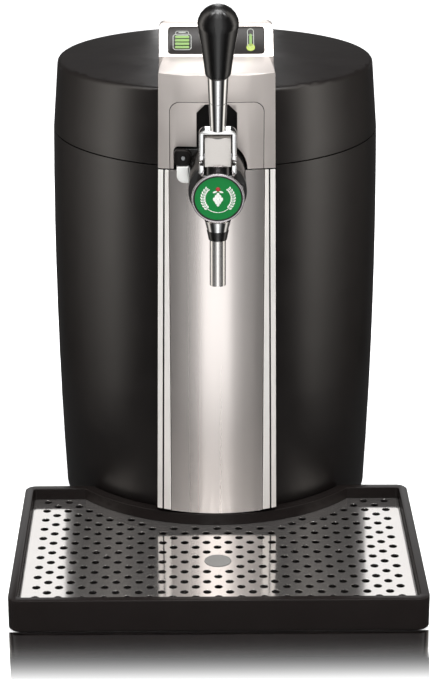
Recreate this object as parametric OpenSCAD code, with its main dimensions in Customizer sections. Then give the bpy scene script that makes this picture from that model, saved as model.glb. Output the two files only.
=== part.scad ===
// Mini keg beer dispenser: a chilled barrel that holds a 5 litre keg, with a
// hinged lid, a lever tap on the front and a loose drip tray under the spout.
// Millimetres. +Z is up, the tap faces -Y, and the origin is on the table,
// in the middle of the whole machine.

/* [Drip tray] */
// Width of the tray
tray_w = 320; // [300:1:340]
// Depth of the tray, front to back
tray_d = 213; // [205:1:225]
// Height of the tray's rim above the table
tray_h = 27; // [25:0.5:34]
// Width of the rim's flat top
rim_w = 7; // [5:0.5:9]
// Radius of the tray's upright corners
tray_corner_r = 9; // [8:0.5:14]
// Thickness of the tray's floor
tray_floor_t = 3; // [2:0.5:4]
// Depth of the grate's face below the rim
grate_drop = 9.4; // [6:0.2:12]
// Thickness of the steel grate
grate_t = 1.2; // [0.8:0.1:2]
// Diameter of the grate's drain holes
hole_d = 6.4; // [4:0.1:8]
// Distance between neighbouring holes of one row
hole_pitch = 17.6; // [14:0.2:22]
// Rows of holes, front to back
hole_rows = 21; // [15:2:21]
// Distance of the first row from the tray's front
first_row = 24; // [20:0.5:26]
// Holes in the first row
hole_columns = 17; // [13:2:17]
// Diameter of the grey disc that shows where the glass stands
target_d = 21; // [15:0.5:26]

/* [Body] */
// Distance from the tray's front to the axis of the barrel
axis_from_front = 295; // [290:1:298]
// Distance from the axis of the barrel to the machine's back
axis_to_back = 155; // [151:1:175]
// Radius of the barrel at its belly
belly_r = 134.8; // [134:0.1:140]
// Height of the belly
belly_z = 220; // [190:5:240]
// Radius of the barrel's upright curve
belly_bow_r = 4530; // [4000:10:8000]
// Height of the seam between barrel and lid
seam_z = 319; // [318:1:326]
// Width of the seam
seam_gap = 1; // [0.8:0.1:2]
// Wall of the barrel and the lid
shell_t = 3; // [2.5:0.1:3.5]
// Height of the feet
foot_h = 3; // [2:0.5:4]
// Width of the housing behind the barrel
rear_w = 184; // [176:1:196]
// Height of the top of the housing behind the barrel
rear_top_z = 306; // [300:1:307]
// Thickness of the rear cover
rear_cover_t = 4; // [3:0.5:5]

/* [Keg chamber] */
// Diameter of the keg
keg_d = 170; // [164:1:174]
// Height of the keg
keg_h = 250; // [240:1:254]
// Air between the keg and the chamber
keg_gap = 4.5; // [2:0.5:5]
// Wall of the chamber
liner_t = 1.5; // [1:0.1:2]
// Thickness of the insulation around the chamber
foam_t = 12.7; // [8:0.1:16]
// Distance of the chamber's axis in front of the barrel's axis
chamber_shift = 6; // [4:0.5:8]

/* [Front band] */
// Distance of the band's face in front of the barrel's axis
band_reach = 140; // [139.5:0.1:143]
// Half the width of the band at its foot
band_foot_half = 48.7; // [46:0.1:52]
// Half the width of the band at its top
band_top_half = 44.7; // [43:0.1:46]
// Half the width of the brushed panel
panel_half = 36.9; // [30:0.1:38]
// Thickness of the brushed panel
panel_t = 1.5; // [1:0.1:2]
// Radius of the band's gentle bow, seen from above
band_bow_r = 240; // [200:5:600]
// Radius of the arc along the band's lower edge
band_arc_r = 370; // [250:10:900]

/* [Lid] */
// Height of the lid's crease, halfway back
crease_z = 376; // [370:1:382]
// Radius of the lid at the crease
crease_r = 129.6; // [128:0.1:132]
// Fall of the lid's top towards the back, in degrees
lid_fall = 1.8; // [0:0.1:2.5]
// Rise of the dome above the crease
dome_h = 8.5; // [5:0.5:11]
// Height where the front face ends
brow_z = 395; // [394:0.5:399]
// Height of the console's top edge
console_top_z = 422.8; // [421:0.2:428]
// Half the width of the console
console_half = 44.4; // [43:0.1:44.6]
// Width of the display window
window_w = 75; // [70:0.5:80]
// Height of the display window along its slope
window_h = 24.8; // [22:0.2:26]
// Slope of the display from level, in degrees
display_tilt = 45; // [43:1:48]
// Half the width of the panel around the tap
surround_half = 36.2; // [34.5:0.1:38]
// Height of the top of the panel around the tap
surround_top_z = 372.3; // [371.5:0.1:376]
// Half the width of the slot that passes the tap
notch_half = 15.6; // [15:0.1:18]
// Height of the top of that slot
notch_top_z = 371; // [360:0.5:371]
// How far the lid opens, in degrees
lid_open = 85; // [60:1:95]

/* [Tap] */
// Distance of the spout's axis from the tray's front
spout_from_front = 90; // [84:1:94]
// Height of the spout's tip
spout_tip_z = 248; // [236:1:256]
// Diameter of the spout tube
spout_d = 12.3; // [10:0.1:12.4]
// Radius of the round tap housing
housing_r = 22; // [20:0.5:22]
// Diameter of the badge
badge_d = 39.6; // [32:0.2:42]
// Tilt of the badge towards the floor, in degrees
badge_tilt = 7.6; // [0:0.2:9]
// Height of the lever's pivot
pivot_z = 348; // [347:0.5:352]
// Lean of the closed lever towards the user, in degrees
lever_lean = 15; // [5:1:20]
// Length of the lever from the pivot to the top of the knob
lever_len = 124.7; // [120:0.1:140]
// Largest diameter of the knob
knob_d = 30; // [26:0.5:36]
// Length of the knob
knob_len = 56.5; // [50:0.5:64]
// Width over the yoke's two arms
yoke_w = 28; // [27.6:0.2:30]
// Outer diameter of the beer tube
beer_tube_d = 7; // [6:0.1:7]

/* [Cooling] */
// Size of the square fan
fan_size = 80; // [70:1:84]
// Depth of the fan
fan_t = 25; // [20:1:25]
// Height of the middle of the cooling unit
cooler_z = 190; // [170:1:200]
// Number of the heat sink's fins
fin_count = 15; // [9:2:17]
// Thickness of one fin
fin_t = 1.6; // [1:0.1:2.2]

/* [Hidden] */
$fn = 96;

// Clearances: a running fit, two still faces, a visible joint line
run_gap = 0.05;
seat_gap = 0.3;
line_gap = 0.4;
over = 1;

// Places front to back
unit_d = axis_from_front + axis_to_back;
front_y = -unit_d / 2;
back_y = unit_d / 2;
axis_y = front_y + axis_from_front;
chamber_y = axis_y - chamber_shift;
band_y = axis_y - band_reach;
spout_y = front_y + spout_from_front;

// Heights
body_top_z = seam_z - 0.4 * seam_gap;
lid_z = seam_z + 0.6 * seam_gap;
base_t = 3;
base_top_z = foot_h + base_t;
collar_t = 5;
collar_top_z = body_top_z - 1.6;
collar_z = collar_top_z - collar_t;
flange_t = 1.5;
chamber_r = keg_d / 2 + keg_gap;
chamber_floor_z = collar_z - keg_h - 22;
liner_r = chamber_r + liner_t;
foam_r = liner_r + seat_gap + foam_t;

// The barrel's radius at a height, and the lid's side wall
function body_r(z) = belly_r - pow(z - belly_z, 2) / (2 * belly_bow_r);
function lid_r(z) = body_r(seam_z)
    + (crease_r - body_r(seam_z)) * (z - seam_z) / (crease_z - seam_z);
// The band narrows evenly from its foot to the brow
band_foot_z = tray_h + 0.5;
function band_half(z) = band_foot_half
    + (band_top_half - band_foot_half) * (z - band_foot_z) / (brow_z - band_foot_z);

// Rectangle with round corners, middle at the origin
module round_rect(w, d, r) {
    square([w - 2 * r, d], center = true);
    square([w, d - 2 * r], center = true);
    for (sx = [-1, 1], sy = [-1, 1])
        translate([sx * (w / 2 - r), sy * (d / 2 - r)]) circle(r);
}

// Stands an XZ drawing upright and gives it a depth from y0 to y1
module upright(y0, y1) {
    translate([0, y1, 0]) rotate([90, 0, 0]) linear_extrude(y1 - y0) children();
}

// Gives a YZ drawing a width, the same to both sides
module sideways(half) {
    rotate([90, 0, 90]) translate([0, 0, -half]) linear_extrude(2 * half) children();
}

// Cylinder along Y from y0 to y1
module rod_y(r, x, z, y0, y1) {
    translate([x, y1, z]) rotate([90, 0, 0]) cylinder(r = r, h = y1 - y0);
}

// Cylinder along X from x0 to x1
module rod_x(r, x0, x1, y, z) {
    translate([x0, y, z]) rotate([0, 90, 0]) cylinder(r = r, h = x1 - x0);
}

// Upright cylinder from z0 to z1
module post(r, x, y, z0, z1) {
    translate([x, y, z0]) cylinder(r = r, h = z1 - z0);
}

// Box between two corners
module block(a, b) {
    translate(a) cube(b - a);
}

// Solid of the barrel between two heights, grown by a distance
module barrel(grow, z0, z1, steps = 8) {
    translate([0, axis_y, 0]) rotate_extrude() polygon(concat(
        [[0, z0]],
        [for (i = [0:steps]) let (z = z0 + (z1 - z0) * i / steps) [body_r(z) + grow, z]],
        [[0, z1]]));
}

// Solid of the lid down to z0, grown by a distance
lid_edge_r = 4;
lid_skirt = 8;
module lid_form(grow, z0) {
    intersection() {
        translate([0, axis_y, seam_z]) rotate([-lid_fall, 0, 0]) translate([0, 0, -seam_z])
            lid_dome(grow, z0 - lid_skirt);
        translate([-unit_d, axis_y - unit_d, z0]) cube([2 * unit_d, 2 * unit_d, unit_d]);
    }
}

module lid_dome(grow, z0) {
    top_r = crease_r - lid_edge_r;
    rotate_extrude() polygon(concat(
        [[0, z0], [lid_r(z0) + grow, z0]],
        [for (a = [0:22.5:90])
            [top_r + lid_edge_r * cos(a) + grow * cos(a / 2),
             crease_z - lid_edge_r + lid_edge_r * sin(a) + grow * sin(a)]],
        [for (i = [1:6]) let (r = top_r * (1 - i / 6))
            [r, crease_z + dome_h * (1 - pow(r / top_r, 2)) + grow]]));
}

// ---- Drip tray ----

tray_y = front_y + tray_d / 2;
tray_cut_r = body_r(tray_h) + 1;
ledge_w = 9.5;
grate_cut_r = tray_cut_r + ledge_w;
grate_z = tray_h - grate_drop;
ledge_in = 3;

// Outline of the tray, drawn in from its edge, clear of the barrel
module tray_outline(inset, barrel_r) {
    difference() {
        translate([0, tray_y])
            round_rect(tray_w - 2 * inset, tray_d - 2 * inset, tray_corner_r - min(inset, 6));
        translate([0, axis_y]) circle(barrel_r);
    }
}

module drip_tray() {
    sole_h = 1.5;
    color("#1b1b1c") difference() {
        union() {
            linear_extrude(sole_h) tray_outline(1.5, tray_cut_r + 1.5);
            translate([0, 0, sole_h]) linear_extrude(tray_h - sole_h) tray_outline(0, tray_cut_r);
        }
        translate([0, 0, grate_z - grate_t - 0.1])
            linear_extrude(grate_drop + grate_t + over) tray_outline(rim_w, grate_cut_r);
        translate([0, 0, tray_floor_t])
            linear_extrude(tray_h) tray_outline(rim_w + ledge_in, grate_cut_r + ledge_in);
    }
}

// True where a hole keeps a web of metal to the grate's round cut-out
function hole_fits(x, y) = norm([x, y - axis_y]) > grate_cut_r + hole_d / 2 + 2.6;
row_pitch = hole_pitch / 2;

module drip_grate() {
    plate_gap = 0.4;
    color("#c9c9c6") translate([0, 0, grate_z - grate_t]) linear_extrude(grate_t)
        difference() {
            tray_outline(rim_w + plate_gap, grate_cut_r + plate_gap);
            translate([0, target_y]) circle(target_d / 2 + seat_gap / 2);
            for (row = [0:hole_rows - 1])
                let (y = front_y + first_row + row * row_pitch, odd = row % 2)
                for (i = [0:hole_columns - 1 - odd])
                    let (x = (i - (hole_columns - 1 - odd) / 2) * hole_pitch)
                    if (hole_fits(x, y) && norm([x, y - target_y]) > (target_d + hole_d) / 2 + 1)
                        translate([x, y]) circle(hole_d / 2);
        }
}

target_y = spout_y - 3;

module target_disc() {
    color("#8c8c8a") {
        translate([0, target_y, grate_z - grate_t - 1]) cylinder(d = target_d, h = grate_t + 1.4);
    }
}

// ---- Body ----

rear_half = rear_w / 2;
rear_in_y = back_y - rear_cover_t;
tap_z = seam_z;

// The half bore in barrel and band that carries the tap housing
module housing_bore(gap) {
    rod_y(housing_r + gap, 0, tap_z, band_y - 30, axis_y - 100);
}

module base_plate() {
    color("#2a2a2b") translate([0, 0, foot_h]) linear_extrude(base_t) {
        translate([0, axis_y]) circle(body_r(foot_h) - shell_t - seat_gap);
        translate([-(rear_half - shell_t - seat_gap), axis_y])
            square([2 * (rear_half - shell_t - seat_gap), rear_in_y - axis_y - seat_gap]);
    }
}

foot_r = 10;
foot_places = [[-80, axis_y - 70], [80, axis_y - 70],
               [-70, rear_in_y - 20], [70, rear_in_y - 20]];

module feet() {
    color("#111111") for (p = foot_places)
        translate([p[0], p[1], 0]) cylinder(r = foot_r, h = foot_h);
}

module outer_shell() {
    color("#211f1e") difference() {
        union() {
            barrel(0, foot_h, body_top_z);
            block([-rear_half, axis_y, foot_h], [rear_half, rear_in_y, rear_top_z]);
        }
        barrel(-shell_t, foot_h - over, body_top_z + over);
        block([-(rear_half - shell_t), axis_y, foot_h - over],
              [rear_half - shell_t, rear_in_y + over, rear_top_z - shell_t]);
        housing_bore(0.4);
    }
}

// Rows of upright slots in the rear cover
vent_w = 4;
vent_pitch = 9;
vent_h = 64;
inlet_x = 48;
inlet_z = 32;
inlet_w = 28;
inlet_h = 20;
board_z = cooler_z + fan_size / 2 + 32;
board_w = 70;
board_h = 36;
board_y = back_y - 17;
screw_r = 1.5;
cover_screw_places = [for (sx = [-1, 1], z = [14, 150, rear_top_z - 12]) [sx * (rear_half - 9.5), z]];

module rear_cover() {
    color("#1e1d1d") difference() {
        union() {
            block([-rear_half, rear_in_y, foot_h], [rear_half, back_y, rear_top_z]);
            for (sx = [-1, 1], sz = [-1, 1])
                rod_y(3, sx * (board_w / 2 - 5), board_z + sz * (board_h / 2 - 5), board_y, rear_in_y);
            for (p = cover_screw_places)
                rod_y(4, p[0], p[1], rear_in_y - 12, rear_in_y);
        }
        for (i = [-5:5], z = [cooler_z - vent_h / 2 - 3, cooler_z + vent_h / 2 + 3])
            block([i * vent_pitch - vent_w / 2, rear_in_y - over, z - vent_h / 2],
                  [i * vent_pitch + vent_w / 2, back_y + over, z + vent_h / 2]);
        block([inlet_x - inlet_w / 2 - seat_gap, rear_in_y - over, inlet_z - inlet_h / 2 - seat_gap],
              [inlet_x + inlet_w / 2 + seat_gap, back_y + over, inlet_z + inlet_h / 2 + seat_gap]);
        for (p = cover_screw_places) {
            rod_y(screw_r + run_gap, p[0], p[1], rear_in_y - 10, back_y + over);
            rod_y(3 + run_gap, p[0], p[1], back_y - 2, back_y + over);
        }
    }
}

// Pan-head screw along Y, its head's outer face at y, head facing +Y or -Y
module screw_y(x, y, z, side, head_r, head_h, shank_r, length) {
    translate([x, y, z]) rotate([90 * side, 0, 0]) {
        difference() {
            cylinder(r = head_r, h = head_h);
            for (a = [0, 90]) rotate(a) cube([head_r * 1.2, 0.9, head_h], center = true);
        }
        translate([0, 0, head_h]) cylinder(r = shank_r, h = length - head_h);
    }
}

module cover_screws() {
    color("#3a3a3a") for (p = cover_screw_places)
        screw_y(p[0], back_y - 0.1, p[1], 1, 3, 1.9, screw_r, 11);
}

// ---- Front band on the barrel ----

// Front view of the band between two heights, drawn in from its slanted edges
module band_outline(z0, z1, inset) {
    polygon([[-(band_half(z0) - inset), z0], [band_half(z0) - inset, z0],
             [band_half(z1) - inset, z1], [-(band_half(z1) - inset), z1]]);
}

// The arc that lifts the band's lower edge towards its corners
module band_arc(y0, y1) {
    rod_y(band_arc_r, 0, band_foot_z + band_arc_r, y0, y1);
}

// Solid behind the band's bowed face, drawn back from it by a distance
module bowed(back, z0, z1) {
    post(band_bow_r - back, 0, band_y + band_bow_r, z0, z1);
}

rail_groove_x = 5.2;
rail_groove_w = 1.1;

module fascia_carrier() {
    color("#262525") difference() {
        intersection() {
            upright(band_y, axis_y - 100)
                translate([-panel_half, 0]) square([2 * panel_half, body_top_z]);
            band_arc(band_y - over, axis_y);
            bowed(panel_t, 0, seam_z);
        }
        barrel(seat_gap, 0, body_top_z + over);
        housing_bore(0.4);
    }
}

module fascia_panel() {
    color("#b9b4b0") difference() {
        intersection() {
            upright(band_y - over, axis_y - 100)
                translate([-panel_half, 0]) square([2 * panel_half, body_top_z]);
            band_arc(band_y - 2 * over, axis_y);
            bowed(0, 0, seam_z);
        }
        bowed(panel_t, -over, seam_z + over);
        housing_bore(0.4);
    }
}

module fascia_rails() {
    rail_in = panel_half + line_gap;
    color("#d6d6d6") for (side = [0, 1]) mirror([side, 0, 0]) difference() {
        intersection() {
            upright(band_y, axis_y - 100) polygon([
                [rail_in, band_foot_z], [band_half(band_foot_z), band_foot_z],
                [band_half(body_top_z), body_top_z], [rail_in, body_top_z]]);
            band_arc(band_y - over, axis_y);
            bowed(0, 0, seam_z);
        }
        barrel(seat_gap, 0, body_top_z + over);
        difference() {
            upright(band_y - over, axis_y - 100) polygon([
                [band_half(0) - rail_groove_x, 0],
                [band_half(0) - rail_groove_x + rail_groove_w, 0],
                [band_half(seam_z) - rail_groove_x + rail_groove_w, seam_z],
                [band_half(seam_z) - rail_groove_x, seam_z]]);
            bowed(1.6, -over, seam_z + over);
        }
    }
}

// ---- Keg chamber and insulation ----

neck_r = 6.5;
neck_z = tap_z - 15;
neck_end_y = chamber_y - liner_r + 0.8;

module chamber_liner() {
    color("#dcdcda") difference() {
        union() {
            post(liner_r, 0, chamber_y, chamber_floor_z - liner_t, collar_z - seat_gap);
            post(liner_r + 6, 0, chamber_y, collar_z - seat_gap - flange_t, collar_z - seat_gap);
        }
        post(chamber_r, 0, chamber_y, chamber_floor_z, collar_z + over);
        rod_y(neck_r + 0.2, 0, neck_z, band_y, chamber_y);
    }
}

module insulation_jacket() {
    color("#e9e4d2") difference() {
        post(foam_r, 0, chamber_y, base_top_z, collar_z - 2.2 - flange_t);
        post(liner_r + seat_gap, 0, chamber_y, chamber_floor_z - liner_t - seat_gap, collar_z + over);
        rod_y(neck_r + 0.4, 0, neck_z, band_y, chamber_y);
        block([-sink_half - 2, chamber_y + 60, cooler_z - sink_half - 4],
              [sink_half + 2, back_y, cooler_z + sink_half + 4]);
    }
}

module chamber_collar() {
    color("#2b2b2c") difference() {
        barrel(-(shell_t + seat_gap), collar_z, collar_top_z, 1);
        post(chamber_r, 0, chamber_y, collar_z - over, collar_top_z + over);
        housing_bore(0.6);
    }
}

gasket_w = 4;
gasket_h = lid_z + 0.3 - collar_top_z;

module lid_gasket() {
    color("#0f0f0f") translate([0, chamber_y, collar_top_z]) difference() {
        cylinder(r = chamber_r + 3 + gasket_w, h = gasket_h);
        translate([0, 0, -over]) cylinder(r = chamber_r + 3, h = gasket_h + 2 * over);
    }
}

// ---- Cooling unit ----

plate_half = 30;
sink_half = 44;
sink_base_t = 5;
peltier_half = 20;
peltier_t = 4;
cold_back_y = chamber_y + liner_r + 4;
sink_y = cold_back_y + peltier_t;
fan_y = rear_in_y - 3.5 - fan_t;
fin_end_y = fan_y - seat_gap;
fan_hub_r = 16;
fan_bore_r = fan_size / 2 - 1.8;
fan_bolt = fan_size / 2 - 4.2;

module cold_plate() {
    color("#b7babd") difference() {
        block([-plate_half, chamber_y + 70, cooler_z - 40], [plate_half, cold_back_y, cooler_z + 40]);
        post(liner_r + 0.1, 0, chamber_y, 0, seam_z);
    }
}

module peltier_module() {
    color("#f1f1ee") block([-peltier_half, cold_back_y, cooler_z - peltier_half],
                           [peltier_half, sink_y, cooler_z + peltier_half]);
}

module heat_sink() {
    color("#9fa3a6") difference() {
        union() {
            block([-sink_half, sink_y, cooler_z - sink_half],
                  [sink_half, sink_y + sink_base_t, cooler_z + sink_half]);
            for (i = [0:fin_count - 1])
                let (x = -sink_half + fin_t / 2 + i * (2 * sink_half - fin_t) / (fin_count - 1))
                block([x - fin_t / 2, sink_y + sink_base_t - 0.01, cooler_z - sink_half],
                      [x + fin_t / 2, fin_end_y, cooler_z + sink_half]);
        }
        for (sx = [-1, 1], sz = [-1, 1])
            rod_y(screw_r + 0.3, sx * fan_bolt, cooler_z + sz * fan_bolt, sink_y + 1, back_y);
    }
}

module fan_frame() {
    spoke_w = 3;
    color("#1a1a1a") difference() {
        union() {
            translate([0, 0, cooler_z]) upright(fan_y, fan_y + fan_t) difference() {
                square(fan_size, center = true);
                circle(fan_bore_r);
            }
            translate([0, 0, cooler_z]) upright(fan_y + fan_t - 3, fan_y + fan_t) {
                circle(fan_hub_r);
                for (a = [20, 110]) rotate(a) square([2 * fan_bore_r + 2, spoke_w], center = true);
            }
            rod_y(2, 0, cooler_z, fan_y + 5, fan_y + fan_t - 1);
        }
        for (sx = [-1, 1], sz = [-1, 1])
            rod_y(screw_r + 0.3, sx * fan_bolt, cooler_z + sz * fan_bolt, fan_y - over, back_y);
    }
}

module fan_rotor() {
    depth = fan_t - 6;
    color("#2c2c2c") difference() {
        union() {
            rod_y(fan_hub_r, 0, cooler_z, fan_y + 2, fan_y + 2 + depth);
            intersection() {
                for (i = [0:6]) translate([0, fan_y + 2 + depth / 2, cooler_z]) rotate([0, i * 360 / 7, 0])
                    translate([fan_hub_r - 2, 0, 0]) rotate([35, 0, 0])
                        translate([0, -0.8, -11]) cube([fan_bore_r, 1.6, 22]);
                rod_y(fan_bore_r - 1.2, 0, cooler_z, fan_y + 2.5, fan_y + 1.5 + depth);
            }
        }
        rod_y(2 + run_gap, 0, cooler_z, fan_y + 4.5, fan_y + fan_t);
    }
}

module fan_screws() {
    color("#8a8a8a") for (sx = [-1, 1], sz = [-1, 1])
        screw_y(sx * fan_bolt, fan_y + fan_t + 1.8, cooler_z + sz * fan_bolt, 1, 3, 1.8,
                screw_r, fan_t + 12);
}

psu_l = 68;
psu_d = 36;
psu_h = 42;

module power_supply() {
    x0 = -(rear_half - shell_t - 13);
    y0 = rear_in_y - psu_d - 6;
    color("#a9abad") {
        block([x0, y0, base_top_z], [x0 + psu_l, y0 + psu_d, base_top_z + psu_h]);
    }
}

module control_board() {
    pcb_t = 1.6;
    color("#1f6b3a") block([-board_w / 2, board_y - pcb_t, board_z - board_h / 2],
                           [board_w / 2, board_y, board_z + board_h / 2]);
    color("#222222") for (i = [-1, 0, 1])
        block([i * 20 - 6, board_y - pcb_t - 4, board_z - 7],
              [i * 20 + 6, board_y - pcb_t, board_z + 7]);
}

module temperature_sensor() {
    bulb_r = 3;
    bulb_x = 38;
    reach = liner_r + seat_gap + bulb_r;
    color("#c0c4c6") post(bulb_r, bulb_x, chamber_y + sqrt(pow(reach, 2) - pow(bulb_x, 2)),
                          cooler_z - 12, cooler_z + 12);
}

module mains_inlet() {
    pin_x = 4;
    color("#161616") difference() {
        block([inlet_x - inlet_w / 2, back_y - 22, inlet_z - inlet_h / 2],
              [inlet_x + inlet_w / 2, back_y, inlet_z + inlet_h / 2]);
        for (s = [-1, 1]) rod_y(5, inlet_x + s * pin_x, inlet_z, back_y - 14, back_y + over);
    }
    color("#c9b27a") for (s = [-1, 1])
        rod_y(1.2, inlet_x + s * pin_x, inlet_z, back_y - 15, back_y - 3);
}

// ---- Lid hinge ----

hinge_y = axis_y + body_r(seam_z) + 8;
hinge_z = rear_top_z + 7;
hinge_pin_r = 3;
lug_r = 6.8;
knuckle_r = 6.4;
hinge_x = 52;
lug_w = 8;
knuckle_w = 15;

module hinge_brackets() {
    color("#2a2a2a") for (side = [-1, 1]) difference() {
        union() {
            for (s = [-1, 1]) let (x = side * hinge_x + s * (knuckle_w / 2 + 0.5 + lug_w / 2)) {
                rod_x(lug_r, x - lug_w / 2, x + lug_w / 2, hinge_y, hinge_z);
                block([x - lug_w / 2, hinge_y - lug_r + 0.4, rear_top_z],
                      [x + lug_w / 2, min(hinge_y + lug_r - 0.4, back_y), hinge_z]);
            }
        }
        rod_x(hinge_pin_r + run_gap, side * hinge_x - 30, side * hinge_x + 30, hinge_y, hinge_z);
    }
}

module hinge_pins() {
    half = knuckle_w / 2 + 0.5 + lug_w + 0.8;
    color("#c4c4c4") for (side = [-1, 1])
        rod_x(hinge_pin_r, side * hinge_x - half, side * hinge_x + half, hinge_y, hinge_z);
}

module lid_hinge_arms() {
    arm_z = lid_z + 2;
    arm_h = 14;
    arm_reach = 36;
    color("#211f1e") for (side = [-1, 1]) translate([side * hinge_x, 0, 0]) difference() {
        union() {
            rod_x(knuckle_r, -knuckle_w / 2, knuckle_w / 2, hinge_y, hinge_z);
            block([-knuckle_w / 2, hinge_y - knuckle_r + 0.5, hinge_z],
                  [knuckle_w / 2, hinge_y + knuckle_r - 0.5, arm_z + arm_h]);
            block([-knuckle_w / 2, hinge_y - arm_reach, arm_z], [knuckle_w / 2, hinge_y, arm_z + arm_h]);
        }
        translate([-side * hinge_x, 0, 0]) lid_form(0.1, lid_z - 20);
        rod_x(hinge_pin_r + run_gap, -knuckle_w, knuckle_w, hinge_y, hinge_z);
    }
}

// ---- Tap ----

housing_front_y = spout_y + 8;
housing_back_y = axis_y - body_r(seam_z) + 1.6;
column_r = 8;
valve_bore_r = 6;
column_foot_z = spout_tip_z + 51;
block_half = 9.7;
block_depth = 19;
block_z = pivot_z - 5;
block_top_z = pivot_z + 19.6;
tube_r = beer_tube_d / 2;
lock_x = -26;
lock_z = tap_z + 11.5;
lug_back_y = housing_back_y;
lug_front_y = band_y - 0.2;
lock_pin_r = 1.5;
bracket_t = 3;
tap_screw_places = [[16.8, tap_z + 2.7], [-12.4, tap_z - 12]];

module tap_bracket() {
    y0 = housing_back_y + 5;
    bracket_half = 26;
    bracket_drop = 34;
    stud_x = 20;
    stud_z = neck_z - 27;
    stud_r = 4;
    color("#8d9094") difference() {
        union() {
            block([-bracket_half, y0, neck_z - bracket_drop], [bracket_half, y0 + bracket_t, collar_z - 1]);
            for (s = [-1, 1])
                rod_y(stud_r, s * stud_x, stud_z, axis_y - body_r(stud_z) + shell_t + 2.2, y0 + 1);
        }
        rod_y(neck_r + 0.2, 0, neck_z, band_y, chamber_y);
    }
}

module tap_housing() {
    color("#232221") difference() {
        union() {
            rod_y(housing_r, 0, tap_z, housing_front_y, housing_back_y);
            rod_y(neck_r, 0, neck_z, housing_back_y - 1, neck_end_y);
            block([lock_x - 6, lug_front_y, lock_z - 6], [-14, lug_back_y, lock_z + 5.5]);
            block([-7, housing_back_y - 1, neck_z - 5.8], [7, housing_back_y + 4.8, neck_z + 10]);
        }
        rod_y(tube_r + 0.6, 0, neck_z, housing_front_y - over, neck_end_y + over);
        post(column_r + run_gap, 0, spout_y, tap_z - 40, tap_z + 40);
        post(boss_r + seat_gap, 0, spout_y, boss_z - seat_gap, tap_z + 40);
        post(cone_top_r + seat_gap, 0, spout_y, tap_z - 40, column_foot_z + seat_gap);
        rod_y(lock_pin_r + run_gap, lock_x, lock_z, lug_front_y - over, lug_back_y - 2);
        for (p = tap_screw_places)
            rod_y(screw_r + run_gap, p[0], p[1], housing_front_y - over, housing_front_y + 14);
    }
}

module tap_barrel() {
    round_r = block_depth / 2;
    color("#dddddd") difference() {
        union() {
            post(column_r, 0, spout_y, column_foot_z, block_z + 1);
            block([-block_half, spout_y - round_r, block_z], [block_half, spout_y + round_r, block_top_z - round_r]);
            rod_x(round_r, -block_half, block_half, spout_y, block_top_z - round_r);
            rod_y(6, 0, badge_z, badge_y + badge_back + 1.2, spout_y);
        }
        post(valve_bore_r, 0, spout_y, column_foot_z - over, block_top_z - 6);
        rod_y(tube_r + 0.6, 0, neck_z, spout_y, spout_y + 20);
        for (side = [0, 1]) mirror([side, 0, 0])
            rod_x(pin_r + run_gap, pin_in_x - 0.3, block_half + over, spout_y, pivot_z);
    }
}

module tap_boss_ring() {
    color("#181818") difference() {
        post(boss_r, 0, spout_y, boss_z, block_z - 0.5);
        post(column_r + run_gap, 0, spout_y, boss_z - over, block_z + over);
    }
}

cradle_top_z = pivot_z - 5.4;
cradle_half = yoke_w / 2;
ear_t = 3.5;
boss_r = cradle_half - ear_t - 0.3;
boss_z = cradle_top_z - 7.5;

module tap_cradle() {
    color("#dddddd") difference() {
        upright(spout_y - 5, spout_y + 5) difference() {
            polygon([[-cradle_half, cradle_top_z], [-cradle_half, cradle_top_z - 6],
                     [-cradle_half + 5, cradle_top_z - 12], [cradle_half - 5, cradle_top_z - 12],
                     [cradle_half, cradle_top_z - 6], [cradle_half, cradle_top_z]]);
            polygon([[-(boss_r + 0.3), boss_z - 0.3], [boss_r + 0.3, boss_z - 0.3],
                     [boss_r + 0.3, cradle_top_z + over], [-(boss_r + 0.3), cradle_top_z + over]]);
        }
        post(column_r + run_gap, 0, spout_y, cradle_top_z - 20, cradle_top_z);
    }
}

module tap_screws() {
    color("#777777") for (p = tap_screw_places)
        screw_y(p[0], housing_front_y - 1.6, p[1], -1, 2.4, 1.4, screw_r, 13);
}

// Badge: a dished ring and a coloured disc, both tilted towards the floor
badge_y = spout_y - 15;
badge_z = tap_z + 1.8;
badge_back = 3.7;
badge_lip = 1.8;
badge_recess = 1.6;

module badge_frame() {
    translate([0, badge_y, badge_z]) rotate([90 + badge_tilt, 0, 0]) children();
}

module badge_ring() {
    color("#b5b5b5") badge_frame() difference() {
        union() {
            translate([0, 0, -badge_back]) cylinder(d1 = badge_d - 7, d2 = badge_d, h = badge_back);
            cylinder(d = badge_d, h = badge_lip);
        }
        translate([0, 0, badge_lip - badge_recess]) cylinder(d = badge_d - 3.6, h = badge_recess + over);
    }
}

module badge_disc() {
    color("#0b7a3c") badge_frame()
        translate([0, 0, badge_lip - badge_recess]) cylinder(d = badge_d - 3.6 - 0.3, h = 1.2);
}

cone_h = 8;
cone_top_r = 9.9;
ring_h = 7;

module spout_cone() {
    color("#dddddd") translate([0, spout_y, column_foot_z - cone_h]) difference() {
        cylinder(r1 = 7.9, r2 = cone_top_r, h = cone_h);
        translate([0, 0, -over]) cylinder(r = spout_d / 2 + run_gap, h = cone_h + 2 * over);
    }
}

module spout_seal_ring() {
    color("#141414") translate([0, spout_y, column_foot_z - cone_h - ring_h]) difference() {
        cylinder(r1 = 6.9, r2 = 8.3, h = ring_h);
        translate([0, 0, -over]) cylinder(r = spout_d / 2 + run_gap, h = ring_h + 2 * over);
    }
}

module spout_tube() {
    color("#cfcfcf") difference() {
        post(spout_d / 2, 0, spout_y, spout_tip_z, column_foot_z - 0.5);
        post(spout_d / 2 - 1.2, 0, spout_y, spout_tip_z - over, column_foot_z + over);
    }
}

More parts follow.
